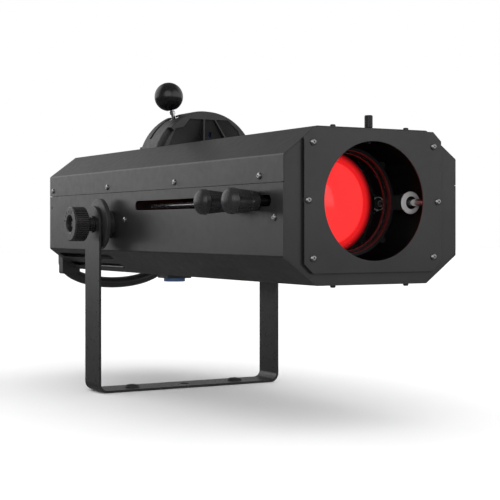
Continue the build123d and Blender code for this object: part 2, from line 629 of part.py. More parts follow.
def lever_ball():
    """Ball knob with a flat at the rod, bored to sit on it."""
    centre_z = AXIS_Z + BALL_REACH
    ball = Pos(0, LEVER_Y, centre_z) * Sphere(BALL_R)
    flat_z = centre_z - BALL_R + 0.9
    ball = ball - block(-9, 9, LEVER_Y - 9, LEVER_Y + 9, centre_z - BALL_R - 1, flat_z)
    ball = ball - along_z(LEVER_R, centre_z - BALL_R - 1, centre_z - BALL_R + 4, 0, LEVER_Y)
    return tilted(ball)


write("iris_cassette", iris_cassette())
write("iris_leaves", *iris_leaves())
write("iris_lever", iris_lever())
write("lever_ball", lever_ball())


WHEEL_R = 70.5
WHEEL_Y = -18.5
WHEEL_HALF = 0.75
WHEEL_PITCH_R = HOUSING_Z - AXIS_Z
WHEEL_PLACES = 8
FILTER_R = 16.5
HUB_FRONT, HUB_REAR = -22.0, -16.0


def wheel_place(i):
    angle = radians(-90 + 360 / WHEEL_PLACES * i)
    return WHEEL_PITCH_R * cos(angle), HOUSING_Z + WHEEL_PITCH_R * sin(angle)


def colour_wheel():
    wheel = along_y(WHEEL_R, WHEEL_Y - WHEEL_HALF, WHEEL_Y + WHEEL_HALF, 0, HOUSING_Z)
    for i in range(WHEEL_PLACES):
        x, z = wheel_place(i)
        wheel = wheel - along_y(FILTER_R - 2, WHEEL_Y - 5, WHEEL_Y + 5, x, z)
    hub = along_y(9.0, HUB_FRONT, HUB_REAR, 0, HOUSING_Z)
    return wheel + hub - along_y(SHAFT_R, HUB_FRONT + 1.5, HUB_REAR + 1, 0, HOUSING_Z)


def colour_filters():
    """Seven dichroic discs against the wheel's front face; the eighth place is open."""
    filters = []
    front = WHEEL_Y - WHEEL_HALF
    for i in range(1, WHEEL_PLACES):
        x, z = wheel_place(i)
        filters.append(along_y(FILTER_R, front - 1.2, front, x, z))
    return filters


MOTOR_HALF = 17.5


def wheel_motor():
    """Stepper motor on the housing's back; its shaft runs in the wheel's hub."""
    rear = HOUSING_REAR
    can = block(-MOTOR_HALF, MOTOR_HALF, rear, rear + 24, HOUSING_Z - MOTOR_HALF, HOUSING_Z + MOTOR_HALF)
    can = chamfer(can.edges().filter_by(Axis.Y), 4)
    return can + along_y(SHAFT_R - RUN, HUB_FRONT + 2.0, rear, 0, HOUSING_Z)


write("colour_wheel", colour_wheel())
write("colour_filters", *colour_filters())
write("wheel_motor", wheel_motor())


def gate_bracket():
    """Upright plate behind the housing with the gate aperture and a foot on the shell's floor."""
    half, top, foot = 50.0, 270.0, 20.0
    plate = block(-half, half, HOUSING_REAR, HOUSING_REAR + PLATE, FLOOR_Z, top)
    plate = plate + block(-half, half, HOUSING_REAR, HOUSING_REAR + foot, FLOOR_Z, FLOOR_Z + PLATE)
    return plate - along_y(20.0, HOUSING_REAR - 1, HOUSING_REAR + PLATE + 1, 0, AXIS_Z)


write("gate_bracket", gate_bracket())

# ---- light engine -------------------------------------------------------------------------------
TUBE_REAR = 46.0
SINK_FRONT = 64.0
SINK_REAR = 162.0
SINK_HALF = 92.0
SINK_BASE = 12.0
SINK_LOW, SINK_HIGH = 192.0, 296.0
FINS = 21
FIN = 3.4
SHELF_Z = 190.0
SHELF_HALF = 66.0
SHELF_FRONT, SHELF_REAR = 56.0, 210.0
DRIVER_HALF = 53.0
DRIVER_FRONT, DRIVER_REAR = 72.0, 208.0


def heat_sink():
    """Base plate with parallel fins running back to the fan."""
    base_rear = SINK_FRONT + SINK_BASE
    sink = block(-SINK_HALF, SINK_HALF, SINK_FRONT, base_rear, SINK_LOW, SINK_HIGH)
    for i in range(FINS):
        x = -SINK_HALF + (2 * SINK_HALF - FIN) * i / (FINS - 1)
        sink = sink + block(x, x + FIN, base_rear, SINK_REAR, SINK_LOW, SINK_HIGH)
    return sink


def engine_bracket():
    """Hat-section shelf over the driver that carries the heat sink and the fan."""
    half, foot_x, web_x = SHELF_HALF, SHELF_HALF - 12, SHELF_HALF - PLATE
    foot_z, shelf_low = FLOOR_Z + PLATE, SHELF_Z - PLATE
    outer = [(foot_x, FLOOR_Z), (half, FLOOR_Z), (half, SHELF_Z), (0, SHELF_Z)]
    inner = [(0, shelf_low), (web_x, shelf_low), (web_x, foot_z), (foot_x, foot_z)]
    side = prism_y(outer + inner, SHELF_FRONT, SHELF_REAR)
    return side + other_side(side) + block(-60, 60, SINK_FRONT, SINK_REAR, SHELF_Z, SINK_LOW)


def led_board():
    """Square board on the heat sink with the ring that holds the emitter."""
    rear, front = SINK_FRONT, SINK_FRONT - 2.0
    board = block(-28, 28, front, rear, AXIS_Z - 28, AXIS_Z + 28)
    ring_front = front - 3.0
    return board + turned_y([(13.5, front), (22, front), (21, ring_front), (15, ring_front)], 0, AXIS_Z)


TUBE_FRONT = HOUSING_REAR + PLATE
write("condenser_tube", tube_y(27.2, 25.6, TUBE_FRONT, TUBE_REAR, 0, AXIS_Z))
write("condenser_lenses", lens(-2.0, 25.4, 2.0, 3.5, 7.0), lens(28.0, 25.4, 2.0, 7.0, 3.5))
write("led_board", led_board())
write("led_chip", along_y(13.0, SINK_FRONT - 3.4, SINK_FRONT - 2, 0, AXIS_Z))
write("heat_sink", heat_sink())
write("engine_bracket", engine_bracket())
write("led_driver", block(-DRIVER_HALF, DRIVER_HALF, DRIVER_FRONT, DRIVER_REAR, FLOOR_Z, SHELF_Z - 3.0))

FAN_DEPTH = 25.0
FAN_Z = SHELF_Z + FAN_HALF
HUB_R = 17.5
HUB_PLATE = 3.0
PIN_R = 2.0
BLADES = 7


def fan_frame():
    """Square fan body with three arms to the hub plate and its pin."""
    rear = FAN_Y + FAN_DEPTH
    frame = block(-FAN_HALF, FAN_HALF, FAN_Y, rear, FAN_Z - FAN_HALF, FAN_Z + FAN_HALF)
    frame = fillet(frame.edges().filter_by(Axis.Y), 4)
    frame = frame - along_y(43.5, FAN_Y - 1, rear + 1, 0, FAN_Z)
    for x in (-41, 41):
        for z in (-41, 41):
            frame = frame - along_y(SCREW_HOLE, FAN_Y - 1, rear + 1, x, FAN_Z + z)
    frame = frame + along_y(HUB_R - 0.5, FAN_Y, FAN_Y + HUB_PLATE, 0, FAN_Z)
    arm = block(15, 45, FAN_Y, FAN_Y + HUB_PLATE, FAN_Z - 2, FAN_Z + 2)
    for i in range(3):
        frame = frame + arm.rotate(Axis((0, 0, FAN_Z), (0, 1, 0)), 120 * i + 30)
    return frame + along_y(PIN_R, FAN_Y + HUB_PLATE, FAN_Y + 16, 0, FAN_Z)


def fan_rotor():
    """Hub with seven pitched blades that runs on the frame's pin."""
    hub = along_y(HUB_R, FAN_Y + HUB_PLATE + GAP, FAN_Y + 23, 0, FAN_Z)
    blade = Pos(29.5, FAN_Y + 13, FAN_Z) * Rot(38, 0, 0) * Box(26, 1.6, 19)
    blade = blade & along_y(42.0, FAN_Y + 4, FAN_Y + 22, 0, FAN_Z)
    for i in range(BLADES):
        hub = hub + blade.rotate(Axis((0, 0, FAN_Z), (0, 1, 0)), 360 * i / BLADES)
    return hub - along_y(PIN_R + RUN, FAN_Y, FAN_Y + 17, 0, FAN_Z)


write("fan_frame", fan_frame())
write("fan_rotor", fan_rotor())

# ---- rear panel ---------------------------------------------------------------------------------
PANEL = 2.0
PANEL_FRONT = PANEL_REAR - PANEL
COLUMN_X = 76.0
BUTTON_R = 3.6
BUTTON_Z = 243.0
BUTTON_X = [COLUMN_X + 12.0 * (i - 1.5) for i in range(4)]
BUTTON_TRAVEL = 1.0
SOCKET_Z = (268.0, 226.0)
SOCKET_R = 11.8
SWITCH_Z = 214.0
SWITCH_HALF_X, SWITCH_HALF_Z = 10.5, 6.5
ROCKER_Y = 222.0  # the rocker's pivot, and how far it is rolled at rest
ROCKER_ROLL = 5.0
DISPLAY_HALF_X, DISPLAY_HALF_Z, DISPLAY_Z = 24.0, 9.5, 267.0
GUARD_R = 42.0
PANEL_SCREWS = [(side * x, z) for side in (-1, 1) for x, z in ((96, 190), (96, 291), (58, 163), (58, 311))]
HANDLE_X = 82.3
HANDLE_TOP = 176.0
HANDLE_LOW = 132.0
HANDLE_Y = 240.0
HANDLE_R = 8.0
MOUNT_IN, MOUNT_LOW = 63.0, 147.0


def rear_panel():
    """Octagonal panel with holes for the fan, sockets, buttons, display and switch."""
    low, high = PANEL_FRONT - 1, PANEL_REAR + 1
    panel = bulkhead(PANEL_FRONT, PANEL, GUARD_R, FAN_Z)
    for x in BUTTON_X:
        panel = panel - along_y(BUTTON_R + GAP, low, high, x, BUTTON_Z)
    for z in SOCKET_Z:
        panel = panel - along_y(SOCKET_R + GAP, low, high, -COLUMN_X, z)
    half_x, half_z = SWITCH_HALF_X + 0.6, SWITCH_HALF_Z + 0.6
    x_low, x_high = COLUMN_X - half_x, COLUMN_X + half_x
    panel = panel - block(x_low, x_high, low, high, SWITCH_Z - half_z, SWITCH_Z + half_z)
    panel = panel - block(COLUMN_X - 20, COLUMN_X + 20, low, high, DISPLAY_Z - 7, DISPLAY_Z + 7)
    for x, z in PANEL_SCREWS:
        panel = panel - along_y(SCREW_HOLE, low, high, x, z)
    tab_x = BODY_HALF - SKIN - SEAT
    tab = block(tab_x - 1.6, tab_x, PANEL_FRONT - 14, PANEL_FRONT, EDGE_SCREW_Z - 3.9, EDGE_SCREW_Z + 3.9)
    tab = tab - along_x(SCREW_HOLE, 0, BODY_HALF, EDGE_SCREW_Y, EDGE_SCREW_Z)
    return panel + [tab, other_side(tab)]


def facing_rear(shape, y):
    """Mirror a shape built for a front face at y so that it stands on the rear of that face."""
    return Pos(0, 2 * y, 0) * mirror(shape, about=Plane.XZ)


def rear_panel_screws():
    """Button heads on the panel, and a flush screw through each side near its rear edge."""
    screws = [facing_rear(head_screw_y(x, PANEL_REAR, z, 6.0), PANEL_REAR) for x, z in PANEL_SCREWS]
    flush = along_x(SCREW_R, BODY_HALF - 6, BODY_HALF - 0.4, EDGE_SCREW_Y, EDGE_SCREW_Z)
    return screws + [flush, other_side(flush)]


def fan_guard():
    """Pressed grille over the fan: rings joined by four radial bars."""
    low, high = PANEL_REAR, PANEL_REAR + 2.2
    guard = tube_y(47.0, 40.0, low, high, 0, FAN_Z)
    for radius in (8.0, 16.0, 24.0, 32.0):
        guard = guard + tube_y(radius + 1.1, radius - 1.1, low, high, 0, FAN_Z)
    bar = block(6.9, 42, low, high, FAN_Z - 1.3, FAN_Z + 1.3)
    for i in range(4):
        guard = guard + bar.rotate(Axis((0, 0, FAN_Z), (0, 1, 0)), 90 * i + 45)
    return guard


def data_sockets():
    """Two chassis sockets: square flange, sleeve and three contacts each."""
    sockets = []
    x, floor = -COLUMN_X, PANEL_FRONT - 10
    for z in SOCKET_Z:
        flange = block(x - 13, x + 13, PANEL_REAR, PANEL_REAR + 2, z - 15.5, z + 15.5)
        flange = fillet(flange.edges().filter_by(Axis.Y), 2)
        body = flange + along_y(SOCKET_R, PANEL_FRONT - 16, PANEL_REAR, x, z)
        body = body - along_y(9.4, floor, PANEL_REAR + 3, x, z)
        for i in range(3):
            angle = radians(90 + 120 * i)
            body = body + along_y(1.2, floor, floor + 11, x + 5 * cos(angle), z + 5 * sin(angle))
        sockets.append(body)
    return sockets


def menu_button(x):
    """Round cap that stands out of the panel, with a flange behind it."""
    face, behind, flange_r = PANEL_REAR + 2.4, PANEL_FRONT - 2.0, BUTTON_R + 1.2
    profile = [(0, face), (BUTTON_R - 0.7, face), (BUTTON_R, face - 0.7), (BUTTON_R, behind),
               (flange_r, behind), (flange_r, behind - 1.0), (0, behind - 1.0)]
    return turned_y(profile, x, BUTTON_Z)


def switch_rocker():
    """Rocker of the mains switch, rolled to its off side about ROCKER_Y."""
    low, mid, high = ROCKER_Y - 6.5, ROCKER_Y + 1.0, ROCKER_Y + 4.0
    half_z = SWITCH_HALF_Z - 1.4
    right = [(6.0, low), (9.0, mid), (8.8, high)]
    points = right + [(0, high - 1.0)] + [(-x, y) for x, y in reversed(right)]
    outline = Polyline(*[(COLUMN_X + x, y, SWITCH_Z - half_z) for x, y in points], close=True)
    rocker = extrude(make_face(outline), amount=2 * half_z, dir=(0, 0, 1))
    return rocker.rotate(Axis((COLUMN_X, ROCKER_Y, 0), (0, 0, 1)), ROCKER_ROLL)


def switch_box(grow, y_low, y_high):
    half_x, half_z = SWITCH_HALF_X + grow, SWITCH_HALF_Z + grow
    return block(COLUMN_X - half_x, COLUMN_X + half_x, y_low, y_high, SWITCH_Z - half_z, SWITCH_Z + half_z)


def switch_frame():
    """Snap-in frame round the rocker."""
    body = switch_box(2, PANEL_REAR, PANEL_REAR + 1.6) + switch_box(0, PANEL_FRONT - 12, PANEL_REAR)
    return body - switch_box(-1, PANEL_FRONT - 9, PANEL_REAR + 2)


def display_window():
    low_z, high_z = DISPLAY_Z - DISPLAY_HALF_Z, DISPLAY_Z + DISPLAY_HALF_Z
    low_x, high_x = COLUMN_X - DISPLAY_HALF_X, COLUMN_X + DISPLAY_HALF_X
    window = block(low_x, high_x, PANEL_REAR, PANEL_REAR + 1.2, low_z, high_z)
    return fillet(window.edges().filter_by(Axis.Y), 2)


def hoop(radius):
    """Round bar below the rear panel: two short legs and half an ellipse."""
    centre_z = HANDLE_TOP - 11.0
    plane = Plane((0, HANDLE_Y, centre_z), x_dir=(1, 0, 0), z_dir=(0, -1, 0))
    bow = EllipticalCenterArc((0, 0), HANDLE_X, centre_z - HANDLE_LOW, start_angle=180, arc_size=180)
    left = Line((-HANDLE_X, HANDLE_Y, HANDLE_TOP), (-HANDLE_X, HANDLE_Y, centre_z))
    right = Line((HANDLE_X, HANDLE_Y, centre_z), (HANDLE_X, HANDLE_Y, HANDLE_TOP))
    path = Wire([left, plane * bow, right])
    section = Plane((-HANDLE_X, HANDLE_Y, HANDLE_TOP), z_dir=(0, 0, -1)) * Circle(radius)
    return sweep(section, path=path)


def handle_mounts():
    """Blocks on the lower corners of the rear panel that the hoop's ends are let into."""
    mount = block(MOUNT_IN, HANDLE_X + HANDLE_R, REAR_Y + SEAT, HANDLE_Y, MOUNT_LOW, HANDLE_TOP + 8)
    mount = fillet(mount.edges().filter_by(Axis.Y), 3)
    mount = chamfer(mount.faces().sort_by(Axis.Y)[-1].edges(), 1.0) - hoop(HANDLE_R + SEAT)
    return [mount, other_side(mount)]


write("rear_panel", rear_panel())
write("rear_panel_screws", *rear_panel_screws())
write("fan_guard", fan_guard())
write("data_sockets", *data_sockets())
for number, button_x in enumerate(BUTTON_X, 1):
    write(f"menu_button_{number}", menu_button(button_x))
write("switch_frame", switch_frame())
write("switch_rocker", switch_rocker())
write("display_window", display_window())
write("rear_handle", hoop(HANDLE_R))
write("handle_mounts", *handle_mounts())

# ---- mains inlet under the body -----------------------------------------------------------------
POD_DEPTH = 5.0
INLET_R, INLET_BODY_R, INLET_WELL_R = 13.8, 12.2, 9.6


def connector_pod():
    """Square base under the body that the inlet sits in."""
    low, width = BODY_BOTTOM - POD_DEPTH, 2 * POD_HALF
    pod = Pos(POD_X, POD_Y, (low + BODY_BOTTOM) / 2) * Box(width, width, POD_DEPTH)
    pod = fillet(pod.edges().filter_by(Axis.Z), 2.5)
    pod = chamfer(pod.faces().sort_by(Axis.Z)[0].edges(), 0.8)
    return pod - along_z(INLET_BODY_R + 0.2, low - 1, BODY_BOTTOM + 1, POD_X, POD_Y)


def mains_inlet():
    """Round locking inlet: collar below the pod, open well with a centre key."""
    pod_low = BODY_BOTTOM - POD_DEPTH
    low, well, top = pod_low - 4.4, BODY_BOTTOM + 10, BODY_BOTTOM + 22
    profile = [(INLET_WELL_R, low), (INLET_R - 0.6, low), (INLET_R, low + 0.8), (INLET_R, pod_low),
               (INLET_BODY_R, pod_low), (INLET_BODY_R, top), (0, top), (0, well), (INLET_WELL_R, well)]
    key = block(POD_X - 3.4, POD_X + 3.4, POD_Y - 1.6, POD_Y + 1.6, low + 2, well + 0.5)
    return turned_z(profile, POD_X, POD_Y) + key


write("connector_pod", connector_pod())
write("mains_inlet", mains_inlet())

# ---- yoke and tilt ------------------------------------------------------------------------------
PLUG_X = 77.5
DISC_R = 33.5
BOLT_R = 5.0
CENTRE_HOLE_R = 6.5


def yoke():
    """One strap bent into a U, with round ends at the pivots."""
    low, high = -STRAP_WIDTH / 2, STRAP_WIDTH / 2
    strap = block(-YOKE_HALF, YOKE_HALF, low, high, 0, PIVOT_Z)
    strap = fillet([e for e in strap.edges().filter_by(Axis.Y) if e.center().Z < 1], YOKE_BEND)
    inside = block(-YOKE_HALF + STRAP, YOKE_HALF - STRAP, low - 1, high + 1, STRAP, PIVOT_Z + 60)
    low_edges = [e for e in inside.edges().filter_by(Axis.Y) if e.center().Z < STRAP + 1]
    inside = fillet(low_edges, YOKE_BEND - STRAP)
    ends = along_x(STRAP_WIDTH / 2, -YOKE_HALF, YOKE_HALF, 0, PIVOT_Z)
    strap = strap + ends - inside
    strap = strap - along_x(BOLT_R + GAP, -YOKE_HALF - 1, YOKE_HALF + 1, 0, PIVOT_Z)
    strap = strap - along_z(CENTRE_HOLE_R, -1, STRAP + 1, 0, 0)
    for x in (-PLUG_X, PLUG_X):
        strap = strap - along_z(7.0, -1, STRAP + 1, x, 0)
    return strap


def yoke_plug(x):
    """Domed plug snapped into the strap's hole; its stem stops above the floor."""
    top = STRAP
    profile = [(0, 0.4), (6.9, 0.4), (6.9, top), (10.0, top), (10.0, top + 0.8)]
    profile += [(10.0 * cos(pi / 2 * i / 6), top + 0.8 + 3.0 * sin(pi / 2 * i / 6)) for i in range(1, 6)]
    profile += [(0, top + 3.8)]
    return turned_z(profile, x, 0)


def pivot_disc():
    """Turned boss on the body's side: spacer, wide flange and a cone up to the washer."""
    start, flange, face = BODY_HALF, BODY_HALF + 11.5, YOKE_HALF - STRAP - 1.6
    edge_low, edge_high, bore = flange + 0.8, flange + 5.4, BOLT_R + RUN
    profile = [(start - 3, 6.9), (start, 6.9), (start, 18), (flange, 18), (flange, DISC_R - 0.8),
               (edge_low, DISC_R), (edge_high, DISC_R), (edge_high + 0.8, DISC_R - 0.8),
               (face, 21.5), (face, bore), (start - 3, bore)]
    return turned_x(profile, 0, PIVOT_Z)


def yoke_washer():
    face = YOKE_HALF - STRAP
    washer = along_x(20.0, face - 1.3, face, 0, PIVOT_Z)
    return washer - along_x(BOLT_R + GAP, face - 3, face + 1, 0, PIVOT_Z)


KNOB_R = 22.4
KNOB_RIBS = 48
KNOB_TICKS = (-75, -55, -35, -15, 5, 25)  # plain radial marks on the grip's face, degrees from the top


def tilt_knob():
    """Clamp knob: hub, ribbed grip with a bevelled inner end, dished face and the threaded stud."""
    tip, hub, grip, face = BODY_HALF + 1, YOKE_HALF + GAP, YOKE_HALF + 9.8, YOKE_HALF + 31.5
    stud = [(tip, 0), (tip, BOLT_R), (hub, BOLT_R)]
    neck = [(hub, 11.0), (hub + 1.6, 11.0), (hub + 1.6, 9.2), (grip, 9.2), (grip, KNOB_R - 4.5)]
    rim = [(grip + 3.0, KNOB_R), (face - 1.2, KNOB_R), (face, KNOB_R - 1.4)]
    rim = rim + [(face, 12.4), (face - 1.0, 10.6)]
    well = [(face - 7.0, 9.6), (face - 7.0, 4.6), (face - 4.0, 4.0), (face - 4.0, 0)]
    knob = turned_x(stud + neck + rim + well, 0, PIVOT_Z)
    groove = Pos(0, 0, PIVOT_Z) * block(grip + 1.2, face - 2.4, -0.7, 0.7, KNOB_R - 1.3, KNOB_R + 1)
    tick = Pos(0, 0, PIVOT_Z) * block(face - 0.6, face + 1, -0.6, 0.6, 14.2, 19.0)
    axis = Axis((0, 0, PIVOT_Z), (1, 0, 0))
    knob = knob - [groove.rotate(axis, 360 * i / KNOB_RIBS) for i in range(KNOB_RIBS)]
    return knob - [tick.rotate(axis, angle) for angle in KNOB_TICKS]


right_knob = tilt_knob()
write("yoke", yoke())
write("yoke_plugs", yoke_plug(-PLUG_X), yoke_plug(PLUG_X))
write("yoke_washers", yoke_washer(), other_side(yoke_washer()))
write("pivot_discs", pivot_disc(), other_side(pivot_disc()))
write("tilt_knob_right", right_knob)
write("tilt_knob_left", other_side(right_knob))
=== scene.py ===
"""Looks for the LED follow spot: camera, light, floor and a material for every CAD node."""
import json
import math

import bpy
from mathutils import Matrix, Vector

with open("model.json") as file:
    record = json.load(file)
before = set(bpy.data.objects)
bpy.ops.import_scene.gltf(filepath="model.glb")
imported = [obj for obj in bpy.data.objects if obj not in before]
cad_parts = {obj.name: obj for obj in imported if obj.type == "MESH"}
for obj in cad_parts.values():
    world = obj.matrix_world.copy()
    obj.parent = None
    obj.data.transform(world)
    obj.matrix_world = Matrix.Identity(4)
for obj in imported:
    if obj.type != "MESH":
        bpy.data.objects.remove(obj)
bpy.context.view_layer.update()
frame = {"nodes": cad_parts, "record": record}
nodes = frame["nodes"]
scene = bpy.context.scene
scene.view_settings.view_transform = "Standard"


# ---- camera, floor and light --------------------------------------------------------------------
CAMERA_PLACE = (-0.7637, -1.5438, 0.2125)
CAMERA_TURN = -29.3  # degrees about Z from looking along +Y
CAMERA_LENS, CAMERA_SENSOR = 90.87, 36.0
CAMERA_SHIFT = -0.0408

# Soft lights in the room: direction, cosine where each starts and where it is full, and its gain.
REAR_LIGHT = ((-0.52, 0.79, 0.32), 0.74, 0.95, 0.98)
FRONT_LIGHT = ((0.56, -0.82, 0.10), 0.66, 0.97, 1.0)
RIGHT_LIGHT = ((1.0, 0.15, 0.2), 0.72, 0.97, 0.5)
CAMERA_SIDE_LIGHT = ((-0.52, -0.80, 0.30), 0.80, 0.97, 1.3)
ROOM = (0.28, 0.13)  # strength low down and overhead
ROOM_HEIGHTS = (0.1, 0.8)  # sine of the elevation that each of them holds at
GROUND = 0.11  # strength below the horizon
HORIZON = (-0.05, 0.03)
OVERHEAD = 2.85
OVERHEAD_ANGLE = 100  # degrees across
OVERHEAD_LEAN = (8, 6)

AXIS_Z = 0.2425  # height of the beam's axis
LENS_FACE_R = 0.0463  # rear lens: its curved face, and its rim
LENS_R = 0.0575
ROD_X = 0.0825  # the guide rods' distance from the beam
WELL_R = 0.0071  # counterbore of the bushes on them
FLOOR_HALF = 9.0
FLOOR_DROP = 0.0003


def add_camera():
    data = bpy.data.cameras.new("camera")
    data.sensor_width = CAMERA_SENSOR
    data.lens = CAMERA_LENS
    data.shift_y = CAMERA_SHIFT
    data.clip_end = 40.0
    camera = bpy.data.objects.new("camera", data)
    camera.location = CAMERA_PLACE
    camera.rotation_euler = (math.radians(90), 0, math.radians(CAMERA_TURN))
    scene.collection.objects.link(camera)
    scene.camera = camera


def add_overhead():
    """Wide overhead light that whitens the floor and leaves a soft shadow, with no glint of its own."""
    data = bpy.data.lights.new("overhead", "SUN")
    data.energy = OVERHEAD
    data.angle = math.radians(OVERHEAD_ANGLE)
    lamp = bpy.data.objects.new("overhead", data)
    lean_x, lean_y = OVERHEAD_LEAN
    lamp.rotation_euler = (math.radians(lean_x), math.radians(lean_y), 0)
    lamp.visible_glossy = False
    scene.collection.objects.link(lamp)


def add_world():
    """Soft room: four broad lights round the object, a dim ceiling and a dark ground."""
    world = bpy.data.worlds.new("studio")
    scene.world = world
    world.use_nodes = True
    tree = world.node_tree
    background = tree.nodes["Background"]
    background.inputs["Color"].default_value = (1, 1, 1, 1)
    look = tree.nodes.new("ShaderNodeTexCoord").outputs["Generated"]
    split = tree.nodes.new("ShaderNodeSeparateXYZ")
    tree.links.new(look, split.inputs[0])

    def ramp(value, start, end, low, high):
        node = tree.nodes.new("ShaderNodeMapRange")
        node.interpolation_type = "SMOOTHSTEP"
        for key, number in (("From Min", start), ("From Max", end), ("To Min", low), ("To Max", high)):
            node.inputs[key].default_value = number
        tree.links.new(value, node.inputs["Value"])
        return node.outputs["Result"]

    def combine(operation, first, second):
        node = tree.nodes.new("ShaderNodeMath")
        node.operation = operation
        for value, socket in ((first, node.inputs[0]), (second, node.inputs[1])):
            if isinstance(value, float):
                socket.default_value = value
            else:
                tree.links.new(value, socket)
        return node.outputs[0]

    def lobe(direction, start, end, gain):
        dot = tree.nodes.new("ShaderNodeVectorMath")
        dot.operation = "DOT_PRODUCT"
        tree.links.new(look, dot.inputs[0])
        dot.inputs[1].default_value = Vector(direction).normalized()
        return ramp(dot.outputs["Value"], start, end, 0.0, gain)

    sky = lobe(*REAR_LIGHT)
    for light in (FRONT_LIGHT, CAMERA_SIDE_LIGHT, RIGHT_LIGHT):
        sky = combine("ADD", sky, lobe(*light))
    sky = combine("ADD", sky, ramp(split.outputs["Z"], *ROOM_HEIGHTS, *ROOM))
    sky = combine("MULTIPLY", sky, ramp(split.outputs["Z"], *HORIZON, 0.0, 1.0))
    sky = combine("ADD", sky, ramp(split.outputs["Z"], *HORIZON, GROUND, 0.0))
    seen = tree.nodes.new("ShaderNodeLightPath").outputs["Is Camera Ray"]
    tree.links.new(combine("MAXIMUM", sky, seen), background.inputs["Strength"])


# ---- material helpers ---------------------------------------------------------------------------
class Graph:
    """A material's node tree with the calls that every finish here is built from."""

    def __init__(self, name):
        self.material = bpy.data.materials.new(name)
        self.material.use_nodes = True
        self.tree = self.material.node_tree
        self.shader = self.tree.nodes["Principled BSDF"]
        self.place = self.node("ShaderNodeTexCoord").outputs["Object"]

    def node(self, kind, **settings):
        made = self.tree.nodes.new(kind)
        for key, value in settings.items():
            setattr(made, key, value)
        return made

    def link(self, source, target):
        self.tree.links.new(source, target)

    def noise(self, millimetres, detail=3.0, roughness=0.55, stretch=None):
        texture = self.node("ShaderNodeTexNoise")
        texture.inputs["Scale"].default_value = 1000.0 / millimetres
        texture.inputs["Detail"].default_value = detail
        texture.inputs["Roughness"].default_value = roughness
        place = self.place
        if stretch:
            mapping = self.node("ShaderNodeMapping")
            mapping.inputs["Scale"].default_value = stretch
            self.link(place, mapping.inputs["Vector"])
            place = mapping.outputs["Vector"]
        self.link(place, texture.inputs["Vector"])
        return texture.outputs["Fac"]

    def spread(self, value, low, high, start=0.3, end=0.7):
        """Map a 0 to 1 value to low..high."""
        node = self.node("ShaderNodeMapRange")
        node.inputs["From Min"].default_value = start
        node.inputs["From Max"].default_value = end
        node.inputs["To Min"].default_value = low
        node.inputs["To Max"].default_value = high
        self.link(value, node.inputs["Value"])
        return node.outputs["Result"]

    def mix(self, factor, first, second):
        """Colour from first to second; each is a colour or an output."""
        node = self.node("ShaderNodeMix", data_type="RGBA")
        self.link(factor, node.inputs["Factor"])
        for value, socket in ((first, node.inputs[6]), (second, node.inputs[7])):
            if isinstance(value, tuple):
                socket.default_value = (*value, 1)
            else:
                self.link(value, socket)
        return node.outputs[2]

    def rounded(self, millimetres):
        bevel = self.node("ShaderNodeBevel", samples=4)
        bevel.inputs["Radius"].default_value = millimetres / 1000
        return bevel.outputs["Normal"]

    def bump(self, height, millimetres, strength=1.0, normal=None):
        node = self.node("ShaderNodeBump")
        node.inputs["Strength"].default_value = strength
        node.inputs["Distance"].default_value = millimetres / 1000
        self.link(height, node.inputs["Height"])
        if normal is not None:
            self.link(normal, node.inputs["Normal"])
        return node.outputs["Normal"]

    def radius_from(self, centre_x, centre_z):
        """Distance from an axis along Y; a centre_x other than 0 stands for one on each side."""
        place = self.node("ShaderNodeSeparateXYZ")
        self.link(self.place, place.inputs[0])
        side = self.node("ShaderNodeMath", operation="ABSOLUTE")
        self.link(place.outputs["X"], side.inputs[0])
        folded = self.node("ShaderNodeCombineXYZ")
        self.link(side.outputs[0], folded.inputs["X"])
        self.link(place.outputs["Z"], folded.inputs["Z"])
        radius = self.node("ShaderNodeVectorMath", operation="DISTANCE")
        self.link(folded.outputs[0], radius.inputs[0])
        radius.inputs[1].default_value = (centre_x, 0, centre_z)
        return radius.outputs["Value"]

    def edge_mask(self, rounded, sharpness=0.06):
        """About 1 along convex edges, where the rounded normal leaves the true one."""
        geometry = self.node("ShaderNodeNewGeometry")
        dot = self.node("ShaderNodeVectorMath", operation="DOT_PRODUCT")
        self.link(geometry.outputs["Normal"], dot.inputs[0])
        self.link(rounded, dot.inputs[1])
        return self.spread(dot.outputs["Value"], 1.0, 0.0, 1.0 - sharpness, 0.999)


def powder_coat(name, colour=(0.011, 0.011, 0.0112), rough=(0.28, 0.36), edge=0.6, grain=1.1):
    """Black satin powder coat: orange peel, faint dust, and worn edges."""
    g = Graph(name)
    rounded = g.rounded(edge)
    peel = g.noise(grain, 2.0)
    cloud = g.noise(70.0, 3.0)
    dust = g.noise(2.2, 4.0, 0.7)
    base = g.mix(g.spread(cloud, 0.0, 1.0), colour, tuple(c * 1.5 for c in colour))
    wear = g.node("ShaderNodeMath", operation="MULTIPLY")
    g.link(g.edge_mask(rounded), wear.inputs[0])
    g.link(g.spread(dust, 0.0, 0.75, 0.45, 0.75), wear.inputs[1])
    base = g.mix(wear.outputs[0], base, tuple(c * 5 for c in colour))
    g.link(base, g.shader.inputs["Base Color"])
    g.link(g.spread(g.noise(9.0, 4.0), *rough), g.shader.inputs["Roughness"])
    g.link(g.bump(peel, 0.012, 0.5, rounded), g.shader.inputs["Normal"])
    g.shader.inputs["IOR"].default_value = 1.5
    return g.material


def moulded(name, colour, rough=(0.4, 0.5), edge=0.5, grain=0.6, depth=0.03):
    """Moulded plastic with a fine spark-eroded texture."""
    g = Graph(name)
    rounded = g.rounded(edge)
    base = g.mix(g.spread(g.noise(25.0), 0.0, 1.0), colour, tuple(min(1.0, c * 1.35) for c in colour))
    g.link(base, g.shader.inputs["Base Color"])
    g.link(g.spread(g.noise(5.0, 4.0), *rough), g.shader.inputs["Roughness"])
    g.link(g.bump(g.noise(grain, 3.0, 0.7), depth, 0.6, rounded), g.shader.inputs["Normal"])
    return g.material


